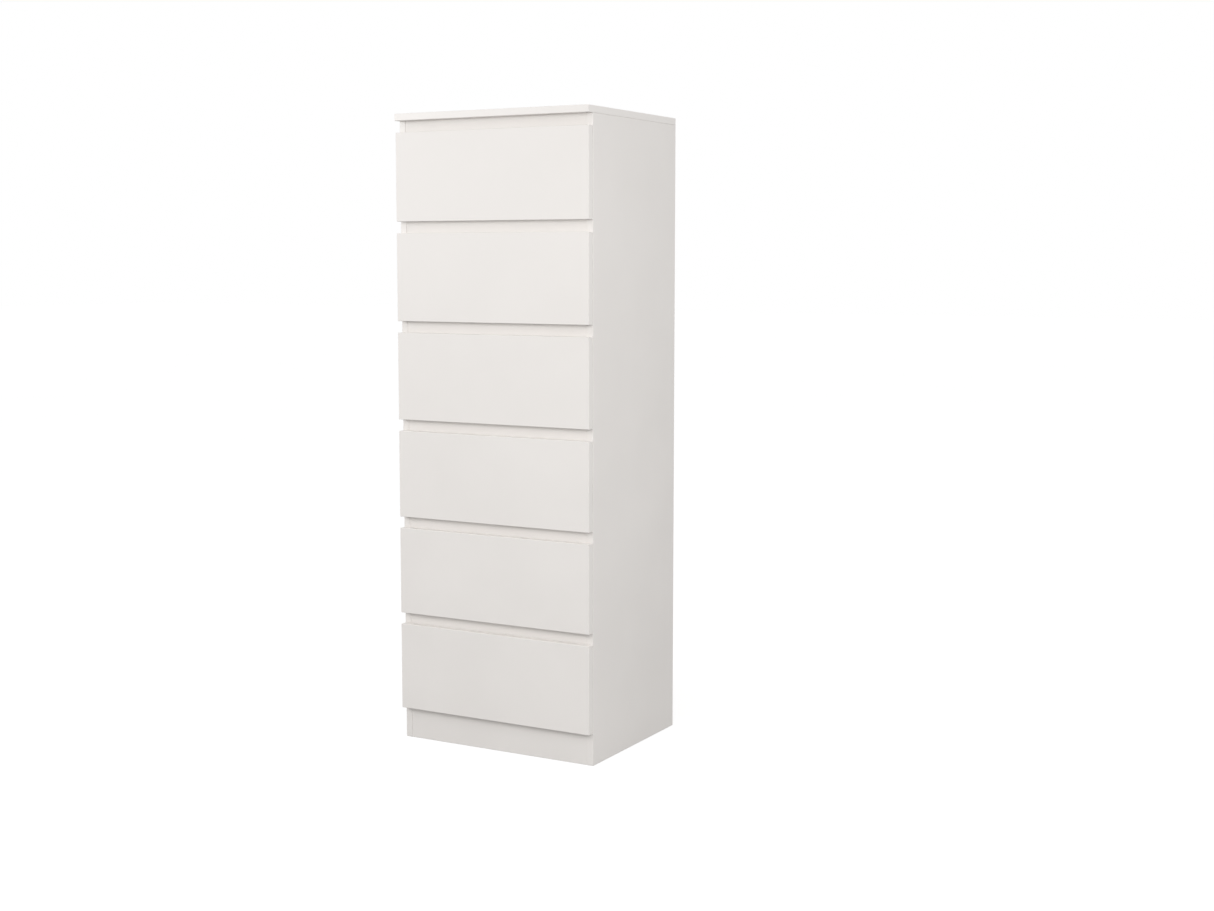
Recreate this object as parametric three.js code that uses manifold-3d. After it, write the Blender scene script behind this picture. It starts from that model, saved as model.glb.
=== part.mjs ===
// A tall, narrow chest of six drawers, flat-packed from melamine-faced board.
// Millimetres, +Z up, +X to the right of a person facing the chest.
// The origin is on the floor under the middle of the chest, and the drawer fronts face -Y.

import * as THREE from "three";
import { mergeVertices } from "three/addons/utils/BufferGeometryUtils.js";
import Module from "manifold-3d";

// Overall size, over the top panel and down to the floor.
const WIDTH = 480;
const DEPTH = 395;
const HEIGHT = 1375;

// Sheet thicknesses.
const BOARD = 15;
const FRONT_BOARD = 16;
const DRAWER_BOARD = 12;
const HARDBOARD = 3;

// The face of the chest: a plinth, then a drawer front and a finger gap, six times, under the top panel.
const DRAWERS = 6;
const PLINTH_HEIGHT = 70;
const FRONT_HEIGHT = 190;
const FINGER_GAP = 25;
const FRONT_WIDTH = WIDTH - 1;
const TOP_LIP = 3; // how far the top panel reaches past the drawer fronts
const FRONT_CLEARANCE = 0.5; // between a closed drawer front and the case

// Case joinery.
const RAIL_SETBACK = 0.5; // from the side panels' front edges
const RAIL_OVERLAP = 15; // how far a rail reaches behind the drawer fronts above and below its gap
const PLINTH_SETBACK = 0.5;
const BACK_INSET = 2; // the hardboard back stays this far inside the outline

// Drawer boxes.
const BOX_WIDTH = 425;
const BOX_LENGTH = 350;
const BOX_HEIGHT = 130;
const BOX_RISE = 22; // from the front's lower edge to the box's lower edge
const GROOVE_RISE = 10; // from the box's lower edge to the groove for the drawer bottom
const GROOVE_HEIGHT = 3.4;
const GROOVE_DEPTH = 5;
const BOTTOM_PLAY = 0.5; // between the drawer bottom's edge and the end of its groove

// Case runners: folded steel channels, open towards the drawer.
const RUNNER_LENGTH = 350;
const RUNNER_INSET = 2; // from the side panels' front edges
const RUNNER_RISE = 18.8; // from the drawer front's lower edge to the channel's lower edge
const RUNNER_HEIGHT = 24.4;
const RUNNER_DEPTH = 10.5;
const RUNNER_STEEL = 1.2;

// Places worked out from the sizes above.
const FRONT_FACE = -DEPTH / 2 + TOP_LIP;
const FRONT_BACK = FRONT_FACE + FRONT_BOARD;
const CASE_FRONT = FRONT_BACK + FRONT_CLEARANCE;
const CASE_BACK = DEPTH / 2 - HARDBOARD;
const INSIDE = WIDTH / 2 - BOARD; // half the width between the side panels
const TOP_UNDERSIDE = HEIGHT - BOARD;
const RAIL_FRONT = CASE_FRONT + RAIL_SETBACK;
const BOX_OUTSIDE = BOX_WIDTH / 2;
const BOX_INSIDE = BOX_OUTSIDE - DRAWER_BOARD;
const BOX_REAR = FRONT_BACK + BOX_LENGTH;
const GROOVE_END = BOX_INSIDE + GROOVE_DEPTH;

const whiteBoard = new THREE.MeshStandardMaterial({ color: 0xefece8, roughness: 0.45, metalness: 0 });
const drawerBoard = new THREE.MeshStandardMaterial({ color: 0xe9e7e3, roughness: 0.55, metalness: 0 });
const hardboard = new THREE.MeshStandardMaterial({ color: 0xb08a5e, roughness: 0.8, metalness: 0 });
const runnerSteel = new THREE.MeshStandardMaterial({ color: 0xd9dadb, roughness: 0.4, metalness: 0.6 });

const wasm = await Module();
wasm.setup();

function solidFrom(geometry) {
  const bare = geometry.clone();
  bare.deleteAttribute("normal");
  bare.deleteAttribute("uv");
  const merged = mergeVertices(bare);
  return new wasm.Manifold(
    new wasm.Mesh({
      numProp: 3,
      vertProperties: merged.getAttribute("position").array,
      triVerts: Uint32Array.from(merged.index.array),
    }),
  );
}

function geometryFrom(solid) {
  const { vertProperties, triVerts } = solid.getMesh();
  const geometry = new THREE.BufferGeometry();
  geometry.setAttribute("position", new THREE.BufferAttribute(vertProperties, 3));
  geometry.setIndex(new THREE.BufferAttribute(triVerts, 1));
  const faceted = geometry.toNonIndexed();
  faceted.computeVertexNormals();
  return faceted;
}

// A rectangular solid between two limits on each axis, kept in its own place in space.
function slabGeometry([x0, x1], [y0, y1], [z0, z1]) {
  const geometry = new THREE.BoxGeometry(x1 - x0, y1 - y0, z1 - z0);
  return geometry.translate((x0 + x1) / 2, (y0 + y1) / 2, (z0 + z1) / 2);
}

// A cut board or sheet, placed by the centre of its outline.
function board(name, [x0, x1], [y0, y1], [z0, z1], material) {
  const mesh = new THREE.Mesh(new THREE.BoxGeometry(x1 - x0, y1 - y0, z1 - z0), material);
  mesh.position.set((x0 + x1) / 2, (y0 + y1) / 2, (z0 + z1) / 2);
  mesh.name = name;
  return mesh;
}

// A bar along Y from the given outline, whose points are [across, up] from the bar's near lower edge.
// Facing 1 keeps the outline's first coordinate along +X, and -1 turns the bar to face the other way.
function bar(name, outline, length, facing, material) {
  const points = outline.map(([across, up]) => new THREE.Vector2(facing * across, up));
  const profile = new THREE.Shape(facing > 0 ? points : points.reverse());
  const geometry = new THREE.ExtrudeGeometry(profile, { depth: length, bevelEnabled: false });
  geometry.rotateX(Math.PI / 2).translate(0, length, 0);
  const mesh = new THREE.Mesh(geometry, material);
  mesh.name = name;
  return mesh;
}

// The height of a drawer front's lower edge; drawer 1 is the lowest.
function frontBottom(number) {
  return PLINTH_HEIGHT + (number - 1) * (FRONT_HEIGHT + FINGER_GAP);
}

// The rail that closes the finger gap above a drawer. The uppermost one meets the top panel.
function frontRail(number) {
  const gapBottom = frontBottom(number) + FRONT_HEIGHT;
  const railTop = Math.min(gapBottom + FINGER_GAP + RAIL_OVERLAP, TOP_UNDERSIDE);
  return board(
    "front_rail_" + number,
    [-INSIDE, INSIDE],
    [RAIL_FRONT, RAIL_FRONT + BOARD],
    [gapBottom - RAIL_OVERLAP, railTop],
    whiteBoard,
  );
}

// A channel screwed to the inside of a side panel; side is -1 on the left and 1 on the right.
function caseRunner(number, side, label) {
  const outline = [
    [0, 0],
    [RUNNER_DEPTH, 0],
    [RUNNER_DEPTH, RUNNER_STEEL],
    [RUNNER_STEEL, RUNNER_STEEL],
    [RUNNER_STEEL, RUNNER_HEIGHT - RUNNER_STEEL],
    [RUNNER_DEPTH, RUNNER_HEIGHT - RUNNER_STEEL],
    [RUNNER_DEPTH, RUNNER_HEIGHT],
    [0, RUNNER_HEIGHT],
  ];
  const channel = bar("runner_" + number + "_" + label, outline, RUNNER_LENGTH, -side, runnerSteel);
  channel.position.set(side * INSIDE, CASE_FRONT + RUNNER_INSET, frontBottom(number) + RUNNER_RISE);
  return channel;
}

function makeCase() {
  const group = new THREE.Group();
  group.add(
    board(
      "side_panel_left",
      [-WIDTH / 2, -INSIDE],
      [CASE_FRONT, CASE_BACK],
      [0, TOP_UNDERSIDE],
      whiteBoard,
    ),
    board(
      "side_panel_right",
      [INSIDE, WIDTH / 2],
      [CASE_FRONT, CASE_BACK],
      [0, TOP_UNDERSIDE],
      whiteBoard,
    ),
    board(
      "top_panel",
      [-WIDTH / 2, WIDTH / 2],
      [-DEPTH / 2, CASE_BACK],
      [TOP_UNDERSIDE, HEIGHT],
      whiteBoard,
    ),
    board(
      "bottom_panel",
      [-INSIDE, INSIDE],
      [RAIL_FRONT, CASE_BACK],
      [PLINTH_HEIGHT, PLINTH_HEIGHT + BOARD],
      whiteBoard,
    ),
    board(
      "plinth_front",
      [-INSIDE, INSIDE],
      [CASE_FRONT + PLINTH_SETBACK, CASE_FRONT + PLINTH_SETBACK + BOARD],
      [0, PLINTH_HEIGHT],
      whiteBoard,
    ),
    board(
      "plinth_rear",
      [-INSIDE, INSIDE],
      [CASE_BACK - BOARD, CASE_BACK],
      [0, PLINTH_HEIGHT],
      whiteBoard,
    ),
    board(
      "back_panel",
      [-WIDTH / 2 + BACK_INSET, WIDTH / 2 - BACK_INSET],
      [CASE_BACK, DEPTH / 2],
      [PLINTH_HEIGHT + BACK_INSET, HEIGHT - BACK_INSET],
      hardboard,
    ),
  );
  for (let number = 1; number <= DRAWERS; number += 1) {
    group.add(frontRail(number), caseRunner(number, -1, "left"), caseRunner(number, 1, "right"));
  }
  return group;
}

// A drawer front with a stopped groove in its back face for the drawer bottom's front edge.
function drawerFront(name) {
  const grooveBottom = BOX_RISE + GROOVE_RISE;
  const whole = slabGeometry([-FRONT_WIDTH / 2, FRONT_WIDTH / 2], [0, FRONT_BOARD], [0, FRONT_HEIGHT]);
  const groove = slabGeometry(
    [-GROOVE_END, GROOVE_END],
    [FRONT_BOARD - GROOVE_DEPTH, FRONT_BOARD + GROOVE_DEPTH],
    [grooveBottom, grooveBottom + GROOVE_HEIGHT],
  );
  const mesh = new THREE.Mesh(geometryFrom(solidFrom(whole).subtract(solidFrom(groove))), whiteBoard);
  mesh.position.y = FRONT_FACE;
  mesh.name = name;
  return mesh;
}

// A drawer side with a groove along its inner face; side is -1 on the left and 1 on the right.
function drawerSide(name, side) {
  const outline = [
    [0, 0],
    [DRAWER_BOARD, 0],
    [DRAWER_BOARD, GROOVE_RISE],
    [DRAWER_BOARD - GROOVE_DEPTH, GROOVE_RISE],
    [DRAWER_BOARD - GROOVE_DEPTH, GROOVE_RISE + GROOVE_HEIGHT],
    [DRAWER_BOARD, GROOVE_RISE + GROOVE_HEIGHT],
    [DRAWER_BOARD, BOX_HEIGHT],
    [0, BOX_HEIGHT],
  ];
  const mesh = bar(name, outline, BOX_LENGTH, -side, drawerBoard);
  mesh.position.set(side * BOX_OUTSIDE, FRONT_BACK, BOX_RISE);
  return mesh;
}

// One drawer, lifted to its height by its group. The hardboard bottom slides in under the back board.
function makeDrawer(number) {
  const name = "drawer_" + number;
  const bottomLevel = BOX_RISE + GROOVE_RISE;
  const group = new THREE.Group();
  group.add(
    drawerFront(name + "_front"),
    drawerSide(name + "_side_left", -1),
    drawerSide(name + "_side_right", 1),
    board(
      name + "_back",
      [-BOX_INSIDE, BOX_INSIDE],
      [BOX_REAR - DRAWER_BOARD, BOX_REAR],
      [bottomLevel + GROOVE_HEIGHT, BOX_RISE + BOX_HEIGHT],
      drawerBoard,
    ),
    board(
      name + "_bottom",
      [-GROOVE_END + BOTTOM_PLAY, GROOVE_END - BOTTOM_PLAY],
      [FRONT_BACK - GROOVE_DEPTH + BOTTOM_PLAY, BOX_REAR],
      [bottomLevel, bottomLevel + HARDBOARD],
      hardboard,
    ),
  );
  group.position.z = frontBottom(number);
  return group;
}

const chest = new THREE.Group();
chest.add(makeCase());
for (let number = 1; number <= DRAWERS; number += 1) {
  chest.add(makeDrawer(number));
}

export default chest;
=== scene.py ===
"""A tall, narrow chest of six drawers in warm white melamine-faced board.

Metres throughout. X runs to the chest's right as it is faced, Y from front to rear, and Z up from the floor.
"""

import math

import bmesh
import bpy
from mathutils import Matrix, Vector


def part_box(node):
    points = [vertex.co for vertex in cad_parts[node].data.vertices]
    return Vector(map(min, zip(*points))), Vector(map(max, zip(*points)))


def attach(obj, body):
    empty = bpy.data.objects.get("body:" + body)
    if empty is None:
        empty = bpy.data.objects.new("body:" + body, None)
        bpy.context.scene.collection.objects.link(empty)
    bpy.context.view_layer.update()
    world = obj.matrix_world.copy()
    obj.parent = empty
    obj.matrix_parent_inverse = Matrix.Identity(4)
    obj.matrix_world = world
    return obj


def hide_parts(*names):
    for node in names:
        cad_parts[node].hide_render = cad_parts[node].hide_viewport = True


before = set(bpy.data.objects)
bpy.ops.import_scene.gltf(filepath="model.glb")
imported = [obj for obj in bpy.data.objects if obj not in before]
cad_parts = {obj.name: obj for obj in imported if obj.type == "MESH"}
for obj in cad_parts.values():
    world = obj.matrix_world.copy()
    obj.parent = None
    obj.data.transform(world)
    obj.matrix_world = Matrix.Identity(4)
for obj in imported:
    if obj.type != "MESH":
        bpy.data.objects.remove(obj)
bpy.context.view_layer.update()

MM = 0.001

# ---------------------------------------------------------------- camera

SENSOR_WIDTH = 36.0
LENS = 51.02
SHIFT_UP = -0.0082  # of the frame's width
EYE = Vector((1978.5, -3261.3, 1058.5)) * MM
YAW = -28.95  # degrees
PITCH = -6.09
ROLL = 0.05


def set_camera():
    """Stands in front of the chest and to its right, at chest height, looking slightly down."""
    data = bpy.data.cameras.new("camera")
    data.sensor_width = SENSOR_WIDTH
    data.lens = LENS
    data.shift_y = SHIFT_UP
    camera = bpy.data.objects.new("camera", data)
    turn = Matrix.Rotation(math.radians(-YAW), 4, "Z")
    turn @= Matrix.Rotation(math.radians(90 + PITCH), 4, "X")
    turn @= Matrix.Rotation(math.radians(ROLL), 4, "Z")
    camera.matrix_world = Matrix.Translation(EYE) @ turn
    bpy.context.scene.collection.objects.link(camera)
    bpy.context.scene.camera = camera


# ---------------------------------------------------------------- sizes of the finish

DRAWER_NUMBERS = range(1, 7)  # from the floor up
SIDES = {"left": -1, "right": 1}  # each side's direction along X

BAND = 1.0 * MM  # thickness of the edge band
BOARD_ROUND = 0.9 * MM  # radius of the arrises of the case's boards and the fronts
DRAWER_ROUND = 0.7 * MM
SHEET_ROUND = 0.25 * MM
ROUND_STEPS = 3
SHARP_ANGLE = math.radians(35)  # edges that turn more than this are rounded, or shaded as edges
GROOVE_HEIGHT = 3.4 * MM  # of the grooves that hold a drawer's bottom
GROOVE_EASE = 0.5 * MM  # room round the bottom's edges
GROOVE_OVERRUN = 5.0 * MM  # past the bottom's rear edge, so that a groove runs out of a drawer's side


# ---------------------------------------------------------------- sizes of the runners and the fittings

STEEL = 1.2 * MM  # runner sheet
BEND = 1.6 * MM  # runner bends, along the middle of the sheet
BEND_STEPS = 4
ROLLER_RADIUS = 9.8 * MM
ROLLER_WIDTH = 7.0 * MM
ROLLER_FROM_END = 12.0 * MM
AXLE_RISE = 11.2 * MM  # of a roller's axle above the channel's lower edge
CASE_ROLLER_OUT = 6.0 * MM  # middle of the tread from the side panel
DRAWER_ROLLER_OUT = 6.8 * MM  # the same, on the drawer runner
TRACK_WIDTH = 8.3 * MM  # the drawer runner's upper flange
FOOT_WIDTH = 9.0 * MM  # the drawer runner's lower flange, under the drawer side
TRACK_PLAY = 0.2 * MM  # between a roller and the flange that runs on it
DRAWER_RUNNER_START = 1.5 * MM  # the drawer runner's front end, behind the drawer front
DRAWER_SCREWS_START = 2.0 * MM  # where its screws are measured from, behind the drawer front
RUNNER_SCREWS = (40 * MM, 165 * MM, 290 * MM)  # from the runner's front end
SPARE_HOLES = (72 * MM, 104 * MM, 136 * MM, 200 * MM, 232 * MM, 264 * MM, 320 * MM)  # the same
HOLE_RADIUS = 2.2 * MM
SLOT_LENGTH = 5.0 * MM  # between the middles of a slot's round ends
HOLE_STEPS = 8  # flat stretches round half a hole
PUNCH_REACH = 2 * STEEL  # of the punch, to each side of the web's middle

SCREW_HEAD = 6.5 * MM  # diameters
BOX_SCREW_HEAD = 7.0 * MM
PIN_HEAD = 4.6 * MM
CAM_HEAD = 12.0 * MM
ROLLER_STEPS = 32  # flat stretches round each turned fitting
SCREW_STEPS = 20
PIN_STEPS = 14
CAM_STEPS = 28
FULL_SIZE = 1.0  # for a pattern that is modelled at its real size
FULL_TURN = 2 * math.pi
PIN_TURN = 6.28  # the most that a pin is turned at random, almost a full turn

BOX_SCREW_RISES = (45 * MM, 105 * MM)  # above the lower edge of a drawer's side
CAM_RISES = (38 * MM, 104 * MM)
CAM_FROM_FRONT = 30 * MM
PIN_SPACING = 105 * MM
BOTTOM_PIN_INSET = 40 * MM  # from the bottom's side edges
BACK_PIN_PLAY = (1.2 * MM, 0.0, 4.0 * MM)  # how far a hand-driven pin may stray
BOTTOM_PIN_PLAY = (3.0 * MM, 1.0 * MM, 0.0)


# ---------------------------------------------------------------- sizes and strengths of the studio

FLOOR_SIZE = 60.0
FLOOR_GLOW = 0.70  # lifts the floor to plain white where it is looked at directly
AMBIENT = 0.77  # how strongly the surround lights the chest
LIGHTS = {
    "left_light": {
        "place": (-1.7, -2.0, 1.5), "aim": (0.0, 0.0, 0.9), "width": 1.0, "height": 1.0, "power": 16.4,
    },
    "front_light": {
        "place": (1.6, -2.2, 1.4), "aim": (0.1, 0.0, 0.8), "width": 0.8, "height": 0.8, "power": 15.2,
    },
    "right_light": {
        "place": (2.4, -1.05, 1.4), "aim": (0.2, 0.0, 0.8), "width": 1.4, "height": 1.6, "power": 11.6,
    },
}


# ---------------------------------------------------------------- materials

PURE_WHITE = (1.0, 1.0, 1.0)
NOISE_RANGE = (0.3, 0.7)  # where most of a noise pattern's values lie


def new_material(name):
    """A material, its node tree and its surface shader."""
    material = bpy.data.materials.new(name)
    material.use_nodes = True
    return material, material.node_tree, material.node_tree.nodes["Principled BSDF"]


def noise(tree, scale, detail, stretch=(1.0, 1.0, 1.0)):
    """A noise pattern on the object's own coordinates, stretched along its axes."""
    place = tree.nodes.new("ShaderNodeTexCoord")
    mapping = tree.nodes.new("ShaderNodeMapping")
    mapping.inputs["Scale"].default_value = stretch
    pattern = tree.nodes.new("ShaderNodeTexNoise")
    pattern.inputs["Scale"].default_value = scale
    pattern.inputs["Detail"].default_value = detail
    tree.links.new(place.outputs["Object"], mapping.inputs["Vector"])
    tree.links.new(mapping.outputs["Vector"], pattern.inputs["Vector"])
    return pattern.outputs["Fac"]


def between(tree, factor, low, high, contrast=(0.35, 0.65)):
    """A colour that follows a pattern from one shade to another."""
    ramp = tree.nodes.new("ShaderNodeValToRGB")
    ramp.color_ramp.elements[0].position = contrast[0]
    ramp.color_ramp.elements[0].color = (*low, 1.0)
    ramp.color_ramp.elements[1].position = contrast[1]
    ramp.color_ramp.elements[1].color = (*high, 1.0)
    tree.links.new(factor, ramp.inputs["Fac"])
    return ramp.outputs["Color"]


def multiplied(tree, colour, tint):
    """A colour darkened by a tint."""
    mix = tree.nodes.new("ShaderNodeMix")
    mix.data_type = "RGBA"
    mix.blend_type = "MULTIPLY"
    mix.inputs["Factor"].default_value = 1.0
    tree.links.new(colour, mix.inputs["A"])
    tree.links.new(tint, mix.inputs["B"])
    return mix.outputs["Result"]


def spread(tree, factor, low, high):
    """A number that follows a pattern's usual range between two limits."""
    limits = tree.nodes.new("ShaderNodeMapRange")
    limits.inputs["From Min"].default_value = NOISE_RANGE[0]
    limits.inputs["From Max"].default_value = NOISE_RANGE[1]
    limits.inputs["To Min"].default_value = low
    limits.inputs["To Max"].default_value = high
    tree.links.new(factor, limits.inputs["Value"])
    return limits.outputs["Result"]


def relief(tree, shader, height, depth, below=None):
    """Raises the surface by a pattern, on top of an earlier relief if there is one."""
    bump = tree.nodes.new("ShaderNodeBump")
    bump.inputs["Strength"].default_value = 1.0
    bump.inputs["Distance"].default_value = depth
    tree.links.new(height, bump.inputs["Height"])
    if below is not None:
        tree.links.new(below, bump.inputs["Normal"])
    tree.links.new(bump.outputs["Normal"], shader.inputs["Normal"])
    return bump.outputs["Normal"]


def coated(name, dark, light, gloss, pearl=0.012 * MM, pearl_scale=620.0, wave=0.05 * MM):
    """A pressed or sprayed white coat: faint clouding, uneven gloss, pearl grain and a slow wave."""
    material, tree, shader = new_material(name)
    cloud = noise(tree, scale=5.0, detail=4.0)
    grain = noise(tree, scale=pearl_scale, detail=2.0)
    slow = noise(tree, scale=9.0, detail=1.0)
    tree.links.new(between(tree, cloud, dark, light), shader.inputs["Base Color"])
    tree.links.new(spread(tree, cloud, *gloss), shader.inputs["Roughness"])
    first = relief(tree, shader, slow, wave)
    relief(tree, shader, grain, pearl, first)
    return material


def melamine():
    """The pressed face of the case's boards and the drawer fronts."""
    return coated("warm_white_melamine", (0.822, 0.791, 0.762), (0.842, 0.811, 0.782), gloss=(0.40, 0.50))


def edge_band():
    """Plastic edge band, a little smoother than the face."""
    dark = (0.828, 0.797, 0.768)
    light = (0.850, 0.819, 0.790)
    return coated("white_edge_band", dark, light, gloss=(0.32, 0.40), pearl=0.006 * MM)


def drawer_foil():
    """The duller foil round the drawers' sides and backs."""
    dark = (0.79, 0.782, 0.765)
    light = (0.81, 0.803, 0.787)
    return coated("white_drawer_foil", dark, light, gloss=(0.50, 0.58), pearl=0.02 * MM, pearl_scale=420.0)


def sheet_lacquer():
    """The sprayed white face of the back and of the drawers' bottoms."""
    dark = (0.78, 0.77, 0.745)
    light = (0.81, 0.80, 0.78)
    return coated("white_sheet_lacquer", dark, light, gloss=(0.42, 0.55), pearl=0.03 * MM, pearl_scale=260.0)


def raw_fibreboard():
    """Bare thin fibreboard: even brown with fine matted fibres, dark bark specks and faint clouds."""
    material, tree, shader = new_material("raw_fibreboard")
    fibres = noise(tree, scale=900.0, detail=4.0, stretch=(1.0, 1.0, 0.6))
    specks = noise(tree, scale=420.0, detail=2.0)
    clouds = noise(tree, scale=6.0, detail=3.0)
    ground = between(tree, clouds, (0.420, 0.274, 0.160), (0.460, 0.306, 0.184))
    fibre_tint = between(tree, fibres, (0.86, 0.84, 0.81), PURE_WHITE, contrast=(0.36, 0.60))
    matted = multiplied(tree, ground, fibre_tint)
    speck_tint = between(tree, specks, (0.70, 0.66, 0.60), PURE_WHITE, contrast=(0.25, 0.33))
    flecked = multiplied(tree, matted, speck_tint)
    tree.links.new(flecked, shader.inputs["Base Color"])
    tree.links.new(spread(tree, clouds, 0.62, 0.74), shader.inputs["Roughness"])
    relief(tree, shader, fibres, 0.02 * MM)
    return material


def raw_chipboard():
    """A sawn board edge: coarse pale and dark chips pressed together."""
    material, tree, shader = new_material("raw_chipboard")
    place = tree.nodes.new("ShaderNodeTexCoord")
    chips = tree.nodes.new("ShaderNodeTexVoronoi")
    chips.inputs["Scale"].default_value = 520.0
    tree.links.new(place.outputs["Object"], chips.inputs["Vector"])
    shade = tree.nodes.new("ShaderNodeSeparateColor")
    tree.links.new(chips.outputs["Color"], shade.inputs["Color"])
    dark = (0.30, 0.19, 0.10)
    light = (0.62, 0.47, 0.30)
    tone = between(tree, shade.outputs["Red"], dark, light, contrast=(0.05, 0.95))
    tree.links.new(tone, shader.inputs["Base Color"])
    shader.inputs["Roughness"].default_value = 0.85
    relief(tree, shader, chips.outputs["Distance"], 0.25 * MM)
    return material


def runner_epoxy():
    """The glossy powder coat on the runners."""
    dark = (0.80, 0.80, 0.79)
    light = (0.83, 0.83, 0.82)
    return coated("white_runner_epoxy", dark, light, gloss=(0.22, 0.32), pearl=0.02 * MM, pearl_scale=330.0)


def roller_nylon():
    """Moulded grey-white nylon."""
    dark = (0.60, 0.61, 0.62)
    light = (0.66, 0.67, 0.68)
    return coated("roller_nylon", dark, light, gloss=(0.35, 0.48), pearl=0.01 * MM, pearl_scale=900.0)


def plated_steel(name, dark, light, gloss):
    """Bare or zinc-plated metal with a faint cloudy tint."""
    material, tree, shader = new_material(name)
    cloud = noise(tree, scale=380.0, detail=3.0)
    tree.links.new(between(tree, cloud, dark, light), shader.inputs["Base Color"])
    tree.links.new(spread(tree, cloud, *gloss), shader.inputs["Roughness"])
    relief(tree, shader, cloud, 0.01 * MM)
    shader.inputs["Metallic"].default_value = 1.0
    return material


def studio_white():
    """The floor: matt pale paper, lifted to plain white where it is looked at directly."""
    material, tree, shader = new_material("studio_floor")
    cloud = noise(tree, scale=1.5, detail=2.0)
    tree.links.new(between(tree, cloud, (0.39, 0.39, 0.39), (0.41, 0.41, 0.41)), shader.inputs["Base Color"])
    shader.inputs["Roughness"].default_value = 0.9
    shader.inputs["Specular IOR Level"].default_value = 0.0
    shader.inputs["Emission Color"].default_value = (*PURE_WHITE, 1.0)
    ray = tree.nodes.new("ShaderNodeLightPath")
    lift = tree.nodes.new("ShaderNodeMath")
    lift.operation = "MULTIPLY"
    lift.inputs[1].default_value = FLOOR_GLOW
    tree.links.new(ray.outputs["Is Camera Ray"], lift.inputs[0])
    tree.links.new(lift.outputs["Value"], shader.inputs["Emission Strength"])
    return material


# ---------------------------------------------------------------- mesh tools

def link(name, bm, materials):
    """Makes a piece of a finished bmesh, with its place in its mesh."""
    mesh = bpy.data.meshes.new(name)
    bm.to_mesh(mesh)
    bm.free()
    for material in materials:
        mesh.materials.append(material)
    piece = bpy.data.objects.new(name, mesh)
    bpy.context.scene.collection.objects.link(piece)
    return piece


def box_bmesh(low, high):
    """A closed box between two corners."""
    bm = bmesh.new()
    size = high - low
    place = Matrix.Translation((low + high) / 2) @ Matrix.Diagonal((*size, 1.0))
    bmesh.ops.create_cube(bm, size=1.0, matrix=place)
    return bm


def way(face):
    """The axis direction that a box's face looks in, such as '+Z'."""
    axis = max(range(3), key=lambda i: abs(face.normal[i]))
    return ("+" if face.normal[axis] > 0 else "-") + "XYZ"[axis]


def round_edges(bm, radius):
    """Rounds every sharp edge of a convex piece."""
    sharp = [edge for edge in bm.edges if edge.calc_face_angle(0.0) > SHARP_ANGLE]
    bmesh.ops.bevel(
        bm,
        geom=sharp,
        offset=radius,
        segments=ROUND_STEPS,
        profile=0.5,
        affect="EDGES",
        clamp_overlap=True,
    )
    bmesh.ops.recalc_face_normals(bm, faces=bm.faces)


def cut_away(piece, cutter_bm):
    """Takes a closed shape, or several apart from each other, out of a piece."""
    cutter = link("cutter", cutter_bm, [])
    cut = piece.modifiers.new("cut", "BOOLEAN")
    cut.operation = "DIFFERENCE"
    cut.solver = "EXACT"
    cut.object = cutter
    graph = bpy.context.evaluated_depsgraph_get()
    cut_mesh = bpy.data.meshes.new_from_object(piece.evaluated_get(graph))
    piece.modifiers.clear()
    piece.data = cut_mesh
    bpy.data.objects.remove(cutter)


def carve(piece, low, high):
    """Cuts a box-shaped groove out of a piece."""
    cut_away(piece, box_bmesh(low, high))


def turned(profile, steps):
    """A solid of revolution about Z from [radius, height] points that start and end on the axis."""
    bm = bmesh.new()
    rings = []
    for radius, height in profile:
        if radius == 0:
            rings.append([bm.verts.new((0.0, 0.0, height))] * steps)
            continue
        ring = []
        for i in range(steps):
            turn = 2 * math.pi * i / steps
            ring.append(bm.verts.new((radius * math.cos(turn), radius * math.sin(turn), height)))
        rings.append(ring)
    for lower, upper in zip(rings, rings[1:]):
        for i in range(steps):
            j = (i + 1) % steps
            corners = (lower[i], lower[j], upper[j], upper[i])
            bm.faces.new(dict.fromkeys(corners))  # on the axis, two of them are one point
    bmesh.ops.recalc_face_normals(bm, faces=bm.faces)
    return bm


def smooth(piece):
    """Shades round stretches smoothly and keeps the flats flat, by weighing normals by face area."""
    piece.data.polygons.foreach_set("use_smooth", [True] * len(piece.data.polygons))
    piece.data.set_sharp_from_angle(angle=SHARP_ANGLE)
    weigh = piece.modifiers.new("weigh_normals", "WEIGHTED_NORMAL")
    weigh.keep_sharp = True
    graph = bpy.context.evaluated_depsgraph_get()
    shaded = bpy.data.meshes.new_from_object(piece.evaluated_get(graph))
    piece.modifiers.clear()
    piece.data = shaded
    return piece


def belongs(piece, body, slot, *nodes):
    """Fixes a piece to its body and hides the parts that it stands in for."""
    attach(piece, body)
    if nodes:
        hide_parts(*nodes)


# ---------------------------------------------------------------- boards and sheets

FACE, EDGE, RAW_EDGE = range(3)  # a board's material slots
COATED_SIDE, BARE_SIDE = range(2)  # a thin sheet's material slots


def banded_board(node, radius, face, band, raw=()):
    """A board with an edge band, rounded arrises, and bare chipboard where no band was glued."""
    low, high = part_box(node)
    thin = min(range(3), key=lambda i: high[i] - low[i])
    bm = box_bmesh(low, high)
    bm.faces.ensure_lookup_table()
    broad = [side for side in bm.faces if way(side)[1] == "XYZ"[thin]]
    for side in bm.faces:
        side.material_index = RAW_EDGE if way(side) in raw else EDGE
    bmesh.ops.inset_individual(bm, faces=broad, thickness=BAND, use_even_offset=True)
    for side in broad:
        side.material_index = FACE
    round_edges(bm, radius)
    return link("finished_" + node, bm, [face, band, chipboard])


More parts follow.
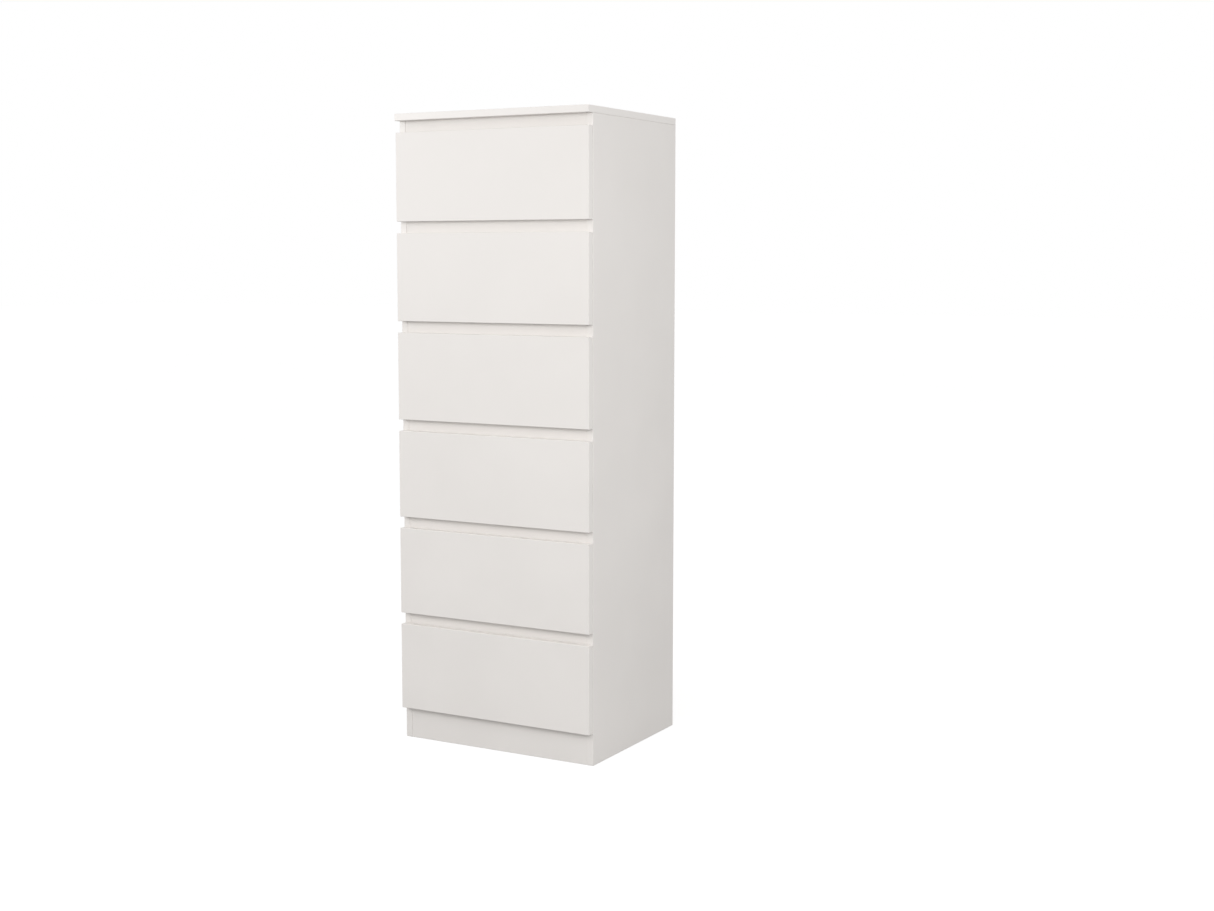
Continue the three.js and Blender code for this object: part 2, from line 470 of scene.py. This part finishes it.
def fibre_sheet(node, raw, lacquer, fibre):
    """A thin sheet, lacquered white on one face and bare on the other and along its sawn edges."""
    low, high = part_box(node)
    bm = box_bmesh(low, high)
    opposite = ("-" if raw[0] == "+" else "+") + raw[1]
    for side in bm.faces:
        side.material_index = COATED_SIDE if way(side) == opposite else BARE_SIDE
    round_edges(bm, SHEET_ROUND)
    return link("finished_" + node, bm, [lacquer, fibre])


def make_case():
    """Side panels, top, bottom, plinths, the rails behind the finger gaps, and the back sheet."""
    bare = {
        "side_panel_left": ("+Y", "-Z"),
        "side_panel_right": ("+Y", "-Z"),
        "top_panel": ("+Y",),
        "bottom_panel": ("+Y",),
        "plinth_front": ("-Z",),
        "plinth_rear": ("-Z",),
    }
    bare.update({f"front_rail_{number}": () for number in DRAWER_NUMBERS})
    for node, raw in bare.items():
        board = smooth(banded_board(node, BOARD_ROUND, white, band_white, raw))
        belongs(board, "case", "white_board", node)
    sheet = smooth(fibre_sheet("back_panel", "+Y", lacquer_white, fibre_brown))
    belongs(sheet, "case", "hardboard", "back_panel")


def make_drawer(number):
    """A front and two sides with grooves for a thin bottom, and a back that stands on it."""
    body = f"drawer_{number}"
    groove_low, sheet_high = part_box(body + "_bottom")
    groove_high = Vector((sheet_high.x, sheet_high.y, groove_low.z + GROOVE_HEIGHT))
    ease = Vector((GROOVE_EASE, 0, 0))

    front = banded_board(body + "_front", BOARD_ROUND, white, band_white)
    carve(front, groove_low - ease - Vector((0, GROOVE_EASE, 0)), groove_high + ease)
    belongs(smooth(front), body, "white_board", body + "_front")

    for side in SIDES:
        node = f"{body}_side_{side}"
        wall = banded_board(node, DRAWER_ROUND, foil_white, foil_white, ("+Y",))
        carve(wall, groove_low - ease, groove_high + ease + Vector((0, GROOVE_OVERRUN, 0)))
        belongs(smooth(wall), body, "drawer_board", node)

    rear = banded_board(body + "_back", DRAWER_ROUND, foil_white, foil_white, ("-Z",))
    belongs(smooth(rear), body, "drawer_board", body + "_back")
    sheet = fibre_sheet(body + "_bottom", "-Z", lacquer_white, fibre_brown)
    belongs(smooth(sheet), body, "hardboard", body + "_bottom")


# ---------------------------------------------------------------- runners

def folded_outline(points):
    """The closed outline of a folded steel strip whose middle follows the points, with round bends."""
    middle = []
    for i, point in enumerate(points):
        here = Vector(point)
        if i in (0, len(points) - 1):
            other = Vector(points[1] if i == 0 else points[-2])
            way_on = (other - here if i == 0 else here - other).normalized()
            middle.append((here, way_on))
            continue
        arriving = (here - Vector(points[i - 1])).normalized()
        leaving = (Vector(points[i + 1]) - here).normalized()
        turn = arriving.angle_signed(leaving)
        cut = BEND * math.tan(abs(turn) / 2)
        hand = -1 if turn > 0 else 1
        start = here - arriving * cut
        centre = start + hand * BEND * Vector((-arriving.y, arriving.x))
        for step in range(BEND_STEPS + 1):
            rotation = Matrix.Rotation(-turn * step / BEND_STEPS, 2)
            middle.append((centre + rotation @ (start - centre), rotation @ arriving))
    left = [place + Vector((-way_on.y, way_on.x)) * STEEL / 2 for place, way_on in middle]
    right = [place - Vector((-way_on.y, way_on.x)) * STEEL / 2 for place, way_on in middle]
    return left + right[::-1]


def folded_strip(name, points, front, rear):
    """A folded strip that runs from front to rear along Y; its points are (x, z)."""
    outline = folded_outline(points)
    bm = bmesh.new()
    front_end, rear_end = [[bm.verts.new((p.x, y, p.y)) for p in outline] for y in (front, rear)]
    count = len(outline)
    for i in range(count):
        j = (i + 1) % count
        bm.faces.new((front_end[i], front_end[j], rear_end[j], rear_end[i]))
    for end in (front_end, rear_end):
        for i in range(count // 2 - 1):
            bm.faces.new((end[i], end[i + 1], end[count - 2 - i], end[count - 1 - i]))
    bmesh.ops.recalc_face_normals(bm, faces=bm.faces)
    return link(name, bm, [epoxy_white])


def punch(strip, x, y_front, z):
    """Punches the spare fixing holes through a runner's web: round ones and slots, in turn."""
    bm = bmesh.new()
    for i, from_front in enumerate(SPARE_HOLES):
        half_slot = 0.0 if i % 2 else SLOT_LENGTH / 2
        outline = []
        for end in (1, -1):
            for step in range(HOLE_STEPS + 1):
                turn = math.pi * (step / HOLE_STEPS - 0.5)
                across = end * (half_slot + HOLE_RADIUS * math.cos(turn))
                outline.append((y_front + from_front + across, z + end * HOLE_RADIUS * math.sin(turn)))
        if not half_slot:  # the two halves of a round hole share their end points
            outline = outline[:HOLE_STEPS] + outline[HOLE_STEPS + 1:-1]
        near = [bm.verts.new((x - PUNCH_REACH, y, height)) for y, height in outline]
        far = [bm.verts.new((x + PUNCH_REACH, y, height)) for y, height in outline]
        for j in range(len(outline)):
            k = (j + 1) % len(outline)
            bm.faces.new((near[j], near[k], far[k], far[j]))
        bm.faces.new(near)
        bm.faces.new(far)
    bmesh.ops.recalc_face_normals(bm, faces=bm.faces)
    cut_away(strip, bm)
    smooth(strip)


def axle_height(number):
    """The height of a drawer's roller axles."""
    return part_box(f"runner_{number}_left")[0].z + AXLE_RISE


def case_runner(number, side):
    """The channel on the side panel, open towards the drawer."""
    node = f"runner_{number}_{side}"
    low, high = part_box(node)
    inward = -SIDES[side]
    wall = low.x if inward > 0 else high.x
    mouth = high.x if inward > 0 else low.x
    web = wall + inward * STEEL / 2
    bottom = low.z + STEEL / 2
    top = high.z - STEEL / 2
    points = [(mouth, bottom), (web, bottom), (web, top), (mouth, top)]
    channel = folded_strip("channel_" + node, points, low.y, high.y)
    punch(channel, web, low.y, axle_height(number))
    belongs(channel, "case", "runner_steel", node)


def drawer_runner(number, side):
    """The angle on the drawer side: a foot under it, a web up its face and a track over the roller."""
    body = f"drawer_{number}"
    low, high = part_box(f"{body}_side_{side}")
    outward = SIDES[side]
    face = high.x if outward > 0 else low.x
    web = face + outward * STEEL / 2
    foot = low.z - STEEL / 2
    track = axle_height(number) + ROLLER_RADIUS + TRACK_PLAY + STEEL / 2
    points = [
        (face - outward * FOOT_WIDTH, foot),
        (web, foot),
        (web, track),
        (web + outward * TRACK_WIDTH, track),
    ]
    front = low.y + DRAWER_RUNNER_START
    strip = folded_strip(f"{body}_runner_{side}", points, front, high.y)
    punch(strip, web, front, axle_height(number))
    belongs(strip, body, "runner_steel")


# ---------------------------------------------------------------- fittings, one pattern each

def roller_pattern():
    """A grooved nylon wheel on a riveted axle, facing +Z, with its middle at the origin."""
    half = ROLLER_WIDTH / 2
    axle_foot = [(0.0, -half - 1.4 * MM), (2.0 * MM, -half - 1.4 * MM), (2.6 * MM, -half - 0.2 * MM)]
    inner_groove = [(4.0 * MM, -half), (4.4 * MM, -half + 1.0 * MM), (7.2 * MM, -half + 1.0 * MM)]
    inner_rim = [(7.8 * MM, -half), (9.2 * MM, -half), (ROLLER_RADIUS, -half + 0.8 * MM)]
    outer_rim = [(ROLLER_RADIUS, half - 0.8 * MM), (9.2 * MM, half), (7.8 * MM, half)]
    outer_groove = [(7.2 * MM, half - 1.0 * MM), (4.4 * MM, half - 1.0 * MM), (4.0 * MM, half)]
    rivet = [(2.6 * MM, half + 0.1 * MM), (2.3 * MM, half + 0.5 * MM), (0.0, half + 0.8 * MM)]
    profile = axle_foot + inner_groove + inner_rim + outer_rim + outer_groove + rivet
    return link("roller_pattern", turned(profile, ROLLER_STEPS), [])


def crossed(piece, width, reach, depth, top):
    """Cuts a cross recess into a head's top."""
    for size_x, size_y in ((width, reach), (reach, width)):
        half = Vector((size_x / 2, size_y / 2, 0))
        carve(piece, -half + Vector((0, 0, top - depth)), half + Vector((0, 0, top + depth)))


def screw_pattern():
    """A pan head of diameter 1 with a cross recess."""
    profile = [(0.0, -0.1), (0.5, -0.1), (0.5, 0.04), (0.44, 0.12), (0.30, 0.18), (0.0, 0.20)]
    piece = link("screw_pattern", turned(profile, SCREW_STEPS), [])
    crossed(piece, width=0.11, reach=0.50, depth=0.12, top=0.20)
    return piece


def flush_screw_pattern():
    """A countersunk head of diameter 1, almost level with the board, with a cross recess."""
    profile = [(0.0, -0.30), (0.16, -0.30), (0.5, -0.02), (0.49, 0.02), (0.0, 0.03)]
    piece = link("flush_screw_pattern", turned(profile, SCREW_STEPS), [])
    crossed(piece, width=0.11, reach=0.56, depth=0.10, top=0.03)
    return piece


def pin_pattern():
    """A flat pin head of diameter 1, slightly domed."""
    profile = [(0.0, -0.15), (0.5, -0.15), (0.5, 0.03), (0.42, 0.09), (0.18, 0.12), (0.0, 0.12)]
    return link("pin_pattern", turned(profile, PIN_STEPS), [])


def cam_pattern():
    """A cam lock's face of diameter 1: a rim, a dished middle and a cross recess."""
    profile = [(0.0, -0.4), (0.5, -0.4), (0.5, 0.02), (0.47, 0.04), (0.41, 0.04), (0.38, 0.01), (0.0, 0.01)]
    piece = link("cam_pattern", turned(profile, CAM_STEPS), [])
    crossed(piece, width=0.12, reach=0.56, depth=0.14, top=0.01)
    return piece


def scatter_tree():
    """A node tree that sets a pattern at each point, facing the point's aim, with a little play."""
    tree = bpy.data.node_groups.new("set_fittings", "GeometryNodeTree")
    face = tree.interface
    face.new_socket("Geometry", in_out="INPUT", socket_type="NodeSocketGeometry")
    face.new_socket("Pattern", in_out="INPUT", socket_type="NodeSocketObject")
    face.new_socket("Size", in_out="INPUT", socket_type="NodeSocketFloat")
    face.new_socket("Spin", in_out="INPUT", socket_type="NodeSocketFloat")
    face.new_socket("Wander", in_out="INPUT", socket_type="NodeSocketVector")
    face.new_socket("Seed", in_out="INPUT", socket_type="NodeSocketInt")
    face.new_socket("Material", in_out="INPUT", socket_type="NodeSocketMaterial")
    face.new_socket("Geometry", in_out="OUTPUT", socket_type="NodeSocketGeometry")
    nodes = tree.nodes
    wire = tree.links.new
    given = nodes.new("NodeGroupInput").outputs
    made = nodes.new("NodeGroupOutput").inputs

    least = nodes.new("ShaderNodeVectorMath")
    least.operation = "SCALE"
    least.inputs["Scale"].default_value = -1.0
    wire(given["Wander"], least.inputs[0])
    stray = nodes.new("FunctionNodeRandomValue")
    stray.data_type = "FLOAT_VECTOR"
    wire(least.outputs["Vector"], stray.inputs["Min"])
    wire(given["Wander"], stray.inputs["Max"])
    wire(given["Seed"], stray.inputs["Seed"])
    move = nodes.new("GeometryNodeSetPosition")
    wire(given["Geometry"], move.inputs["Geometry"])
    wire(stray.outputs["Value"], move.inputs["Offset"])

    aim = nodes.new("GeometryNodeInputNamedAttribute")
    aim.data_type = "FLOAT_VECTOR"
    aim.inputs["Name"].default_value = "aim"
    facing = nodes.new("FunctionNodeAlignRotationToVector")
    facing.axis = "Z"
    wire(aim.outputs["Attribute"], facing.inputs["Vector"])
    spin = nodes.new("FunctionNodeRandomValue")
    spin.data_type = "FLOAT"
    spin_value = [socket for socket in spin.outputs if socket.enabled][0]
    spin_limits = [socket for socket in spin.inputs if socket.enabled and socket.name in ("Min", "Max")]
    spin_low, spin_high = spin_limits
    spin_low.default_value = 0.0
    wire(given["Spin"], spin_high)
    wire(given["Seed"], spin.inputs["Seed"])
    turn = nodes.new("FunctionNodeAxisAngleToRotation")
    turn.inputs["Axis"].default_value = (0.0, 0.0, 1.0)
    wire(spin_value, turn.inputs["Angle"])
    both = nodes.new("FunctionNodeRotateRotation")
    both.rotation_space = "LOCAL"
    wire(facing.outputs["Rotation"], both.inputs["Rotation"])
    wire(turn.outputs["Rotation"], both.inputs["Rotate By"])

    pattern = nodes.new("GeometryNodeObjectInfo")
    pattern.inputs["As Instance"].default_value = True
    wire(given["Pattern"], pattern.inputs["Object"])
    place = nodes.new("GeometryNodeInstanceOnPoints")
    wire(move.outputs["Geometry"], place.inputs["Points"])
    wire(pattern.outputs["Geometry"], place.inputs["Instance"])
    wire(both.outputs["Rotation"], place.inputs["Rotation"])
    wire(given["Size"], place.inputs["Scale"])
    solid = nodes.new("GeometryNodeRealizeInstances")
    finish = nodes.new("GeometryNodeSetMaterial")
    wire(place.outputs["Instances"], solid.inputs["Geometry"])
    wire(solid.outputs["Geometry"], finish.inputs["Geometry"])
    wire(given["Material"], finish.inputs["Material"])
    wire(finish.outputs["Geometry"], made["Geometry"])
    return tree


def set_fittings(
    name, body, slot, pattern, spots, size, material, seed, spin=FULL_TURN, wander=(0.0, 0.0, 0.0)
):
    """Sets a pattern at each (place, aim) spot, turned at random, and makes them one plain mesh on a body."""
    mesh = bpy.data.meshes.new(name)
    mesh.from_pydata([place for place, aim in spots], [], [])
    aims = mesh.attributes.new("aim", "FLOAT_VECTOR", "POINT")
    aims.data.foreach_set("vector", [value for place, aim in spots for value in aim])
    holder = bpy.data.objects.new(name, mesh)
    bpy.context.scene.collection.objects.link(holder)
    modifier = holder.modifiers.new("set_fittings", "NODES")
    modifier.node_group = fitting_tree
    values = {
        "Pattern": pattern,
        "Size": size,
        "Spin": spin,
        "Wander": wander,
        "Seed": seed,
        "Material": material,
    }
    for socket in fitting_tree.interface.items_tree:
        if socket.name in values:
            modifier[socket.identifier] = values[socket.name]
    graph = bpy.context.evaluated_depsgraph_get()
    made = bpy.data.meshes.new_from_object(holder.evaluated_get(graph))
    holder.modifiers.clear()
    holder.data = made
    belongs(smooth(holder), body, slot)


def along(start, stop, spacing):
    """Evenly spaced values from start to stop, no further apart than the spacing."""
    count = math.ceil(abs(stop - start) / spacing)
    return [start + (stop - start) * i / count for i in range(count + 1)]


def middle_of(node, axis):
    """The middle of a node's box along an axis, such as 'x'."""
    low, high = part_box(node)
    return (getattr(low, axis) + getattr(high, axis)) / 2


def make_back_pins(pattern):
    """Pins round the back sheet, in the middle of the board edges behind it."""
    x = middle_of("side_panel_right", "x")
    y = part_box("back_panel")[1].y
    z_low = middle_of("bottom_panel", "z")
    z_high = middle_of("top_panel", "z")
    out = (0.0, 1.0, 0.0)
    heights = along(z_low, z_high, PIN_SPACING)
    between_corners = along(-x, x, PIN_SPACING)[1:-1]
    spots = [((sign * x, y, z), out) for sign in SIDES.values() for z in heights]
    spots += [((across, y, z), out) for z in (z_low, z_high) for across in between_corners]
    set_fittings(
        "back_panel_pins",
        "case",
        "hardboard",
        pattern,
        spots,
        PIN_HEAD,
        dark_steel,
        seed=7,
        spin=PIN_TURN,
        wander=BACK_PIN_PLAY,
    )


def make_bottom_pins(pattern, number):
    """Pins up through the drawer bottom into the back board."""
    body = f"drawer_{number}"
    low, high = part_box(body + "_bottom")
    y = middle_of(body + "_back", "y")
    down = (0.0, 0.0, -1.0)
    across = along(low.x + BOTTOM_PIN_INSET, high.x - BOTTOM_PIN_INSET, PIN_SPACING)
    spots = [((x, y, low.z), down) for x in across]
    set_fittings(
        body + "_bottom_pins",
        body,
        "hardboard",
        pattern,
        spots,
        PIN_HEAD,
        dark_steel,
        seed=20 + number,
        spin=PIN_TURN,
        wander=BOTTOM_PIN_PLAY,
    )


def make_case_runner_fittings(screw, roller):
    """Three screws and a front roller on every channel."""
    screws = []
    rollers = []
    for number in DRAWER_NUMBERS:
        for side, sign in SIDES.items():
            low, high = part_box(f"runner_{number}_{side}")
            wall = high.x if sign > 0 else low.x
            inward = (-float(sign), 0.0, 0.0)
            z = axle_height(number)
            screws += [((wall - sign * STEEL, low.y + y, z), inward) for y in RUNNER_SCREWS]
            rollers.append(((wall - sign * CASE_ROLLER_OUT, low.y + ROLLER_FROM_END, z), inward))
    set_fittings("case_runner_screws", "case", "runner_steel", screw, screws, SCREW_HEAD, zinc, seed=3)
    set_fittings("case_rollers", "case", "runner_steel", roller, rollers, FULL_SIZE, nylon, seed=4)


def make_drawer_fittings(screw, roller, flush_screw, cam, number):
    """A drawer's runner screws and rear rollers, its box screws, and the cams that hold its front."""
    body = f"drawer_{number}"
    z = axle_height(number)
    y_back = middle_of(body + "_back", "y")
    screws = []
    rollers = []
    box_screws = []
    cams = []
    for side, sign in SIDES.items():
        low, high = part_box(f"{body}_side_{side}")
        outer = high.x if sign > 0 else low.x
        inner = low.x if sign > 0 else high.x
        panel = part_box("runner_1_" + side)[1 if sign > 0 else 0].x
        out = (float(sign), 0.0, 0.0)
        inward = (-float(sign), 0.0, 0.0)
        front = low.y + DRAWER_SCREWS_START
        screws += [((outer + sign * STEEL, front + y, z), out) for y in RUNNER_SCREWS]
        rollers.append(((panel - sign * DRAWER_ROLLER_OUT, high.y - ROLLER_FROM_END, z), inward))
        box_screws += [((outer, y_back, low.z + rise), out) for rise in BOX_SCREW_RISES]
        cams += [((inner, low.y + CAM_FROM_FRONT, low.z + rise), inward) for rise in CAM_RISES]
    fittings = (  # name's ending, pattern, spots, size, material, seed
        ("_runner_screws", screw, screws, SCREW_HEAD, zinc, number),
        ("_rollers", roller, rollers, FULL_SIZE, nylon, number),
        ("_box_screws", flush_screw, box_screws, BOX_SCREW_HEAD, zinc, number),
        ("_cams", cam, cams, CAM_HEAD, cast_zinc, 30 + number),
    )
    for ending, pattern, spots, size, material, seed in fittings:
        set_fittings(body + ending, body, "runner_steel", pattern, spots, size, material, seed)


# ---------------------------------------------------------------- studio

def softbox(name, place, aim, width, height, power):
    """A soft rectangular lamp."""
    data = bpy.data.lights.new(name, "AREA")
    data.shape = "RECTANGLE"
    data.size = width
    data.size_y = height
    data.energy = power
    lamp = bpy.data.objects.new(name, data)
    lamp.location = place
    lamp.rotation_euler = (Vector(aim) - Vector(place)).to_track_quat("-Z", "Y").to_euler()
    bpy.context.scene.collection.objects.link(lamp)


def set_world():
    """An even surround, plain white where it is looked at directly."""
    world = bpy.data.worlds.new("studio")
    world.use_nodes = True
    tree = world.node_tree
    room = tree.nodes["Background"]
    room.inputs["Color"].default_value = (*PURE_WHITE, 1.0)
    ray = tree.nodes.new("ShaderNodeLightPath")
    level = tree.nodes.new("ShaderNodeMapRange")
    level.inputs["To Min"].default_value = AMBIENT
    level.inputs["To Max"].default_value = 1.0
    tree.links.new(ray.outputs["Is Camera Ray"], level.inputs["Value"])
    tree.links.new(level.outputs["Result"], room.inputs["Strength"])
    bpy.context.scene.world = world


def make_studio():
    """The floor, the lamps and the surround."""
    half = FLOOR_SIZE / 2
    bm = bmesh.new()
    corners = ((-half, -half, 0), (half, -half, 0), (half, half, 0), (-half, half, 0))
    bm.faces.new([bm.verts.new(corner) for corner in corners])
    link("studio_floor", bm, [studio_white()])
    for name, light in LIGHTS.items():
        softbox(name, **light)
    set_world()
    bpy.context.scene.view_settings.view_transform = "Standard"


# ---------------------------------------------------------------- the chest

set_camera()

white = melamine()
band_white = edge_band()
foil_white = drawer_foil()
lacquer_white = sheet_lacquer()
fibre_brown = raw_fibreboard()
chipboard = raw_chipboard()
epoxy_white = runner_epoxy()
nylon = roller_nylon()
zinc = plated_steel("zinc_plated_screw", (0.58, 0.58, 0.56), (0.70, 0.70, 0.68), (0.22, 0.38))
cast_zinc = plated_steel("cast_zinc_cam", (0.44, 0.44, 0.45), (0.55, 0.55, 0.56), (0.35, 0.5))
dark_steel = plated_steel("pin_steel", (0.33, 0.33, 0.34), (0.46, 0.46, 0.47), (0.3, 0.45))

make_case()
for drawer_number in DRAWER_NUMBERS:
    make_drawer(drawer_number)
    for drawer_side in SIDES:
        case_runner(drawer_number, drawer_side)
        drawer_runner(drawer_number, drawer_side)

fitting_tree = scatter_tree()
patterns = {
    "screw": screw_pattern(),
    "flush_screw": flush_screw_pattern(),
    "pin": pin_pattern(),
    "cam": cam_pattern(),
    "roller": roller_pattern(),
}
make_back_pins(patterns["pin"])
make_case_runner_fittings(patterns["screw"], patterns["roller"])
for drawer_number in DRAWER_NUMBERS:
    make_bottom_pins(patterns["pin"], drawer_number)
    make_drawer_fittings(
        patterns["screw"],
        patterns["roller"],
        patterns["flush_screw"],
        patterns["cam"],
        drawer_number,
    )
for pattern_piece in patterns.values():
    bpy.data.objects.remove(pattern_piece)

make_studio()
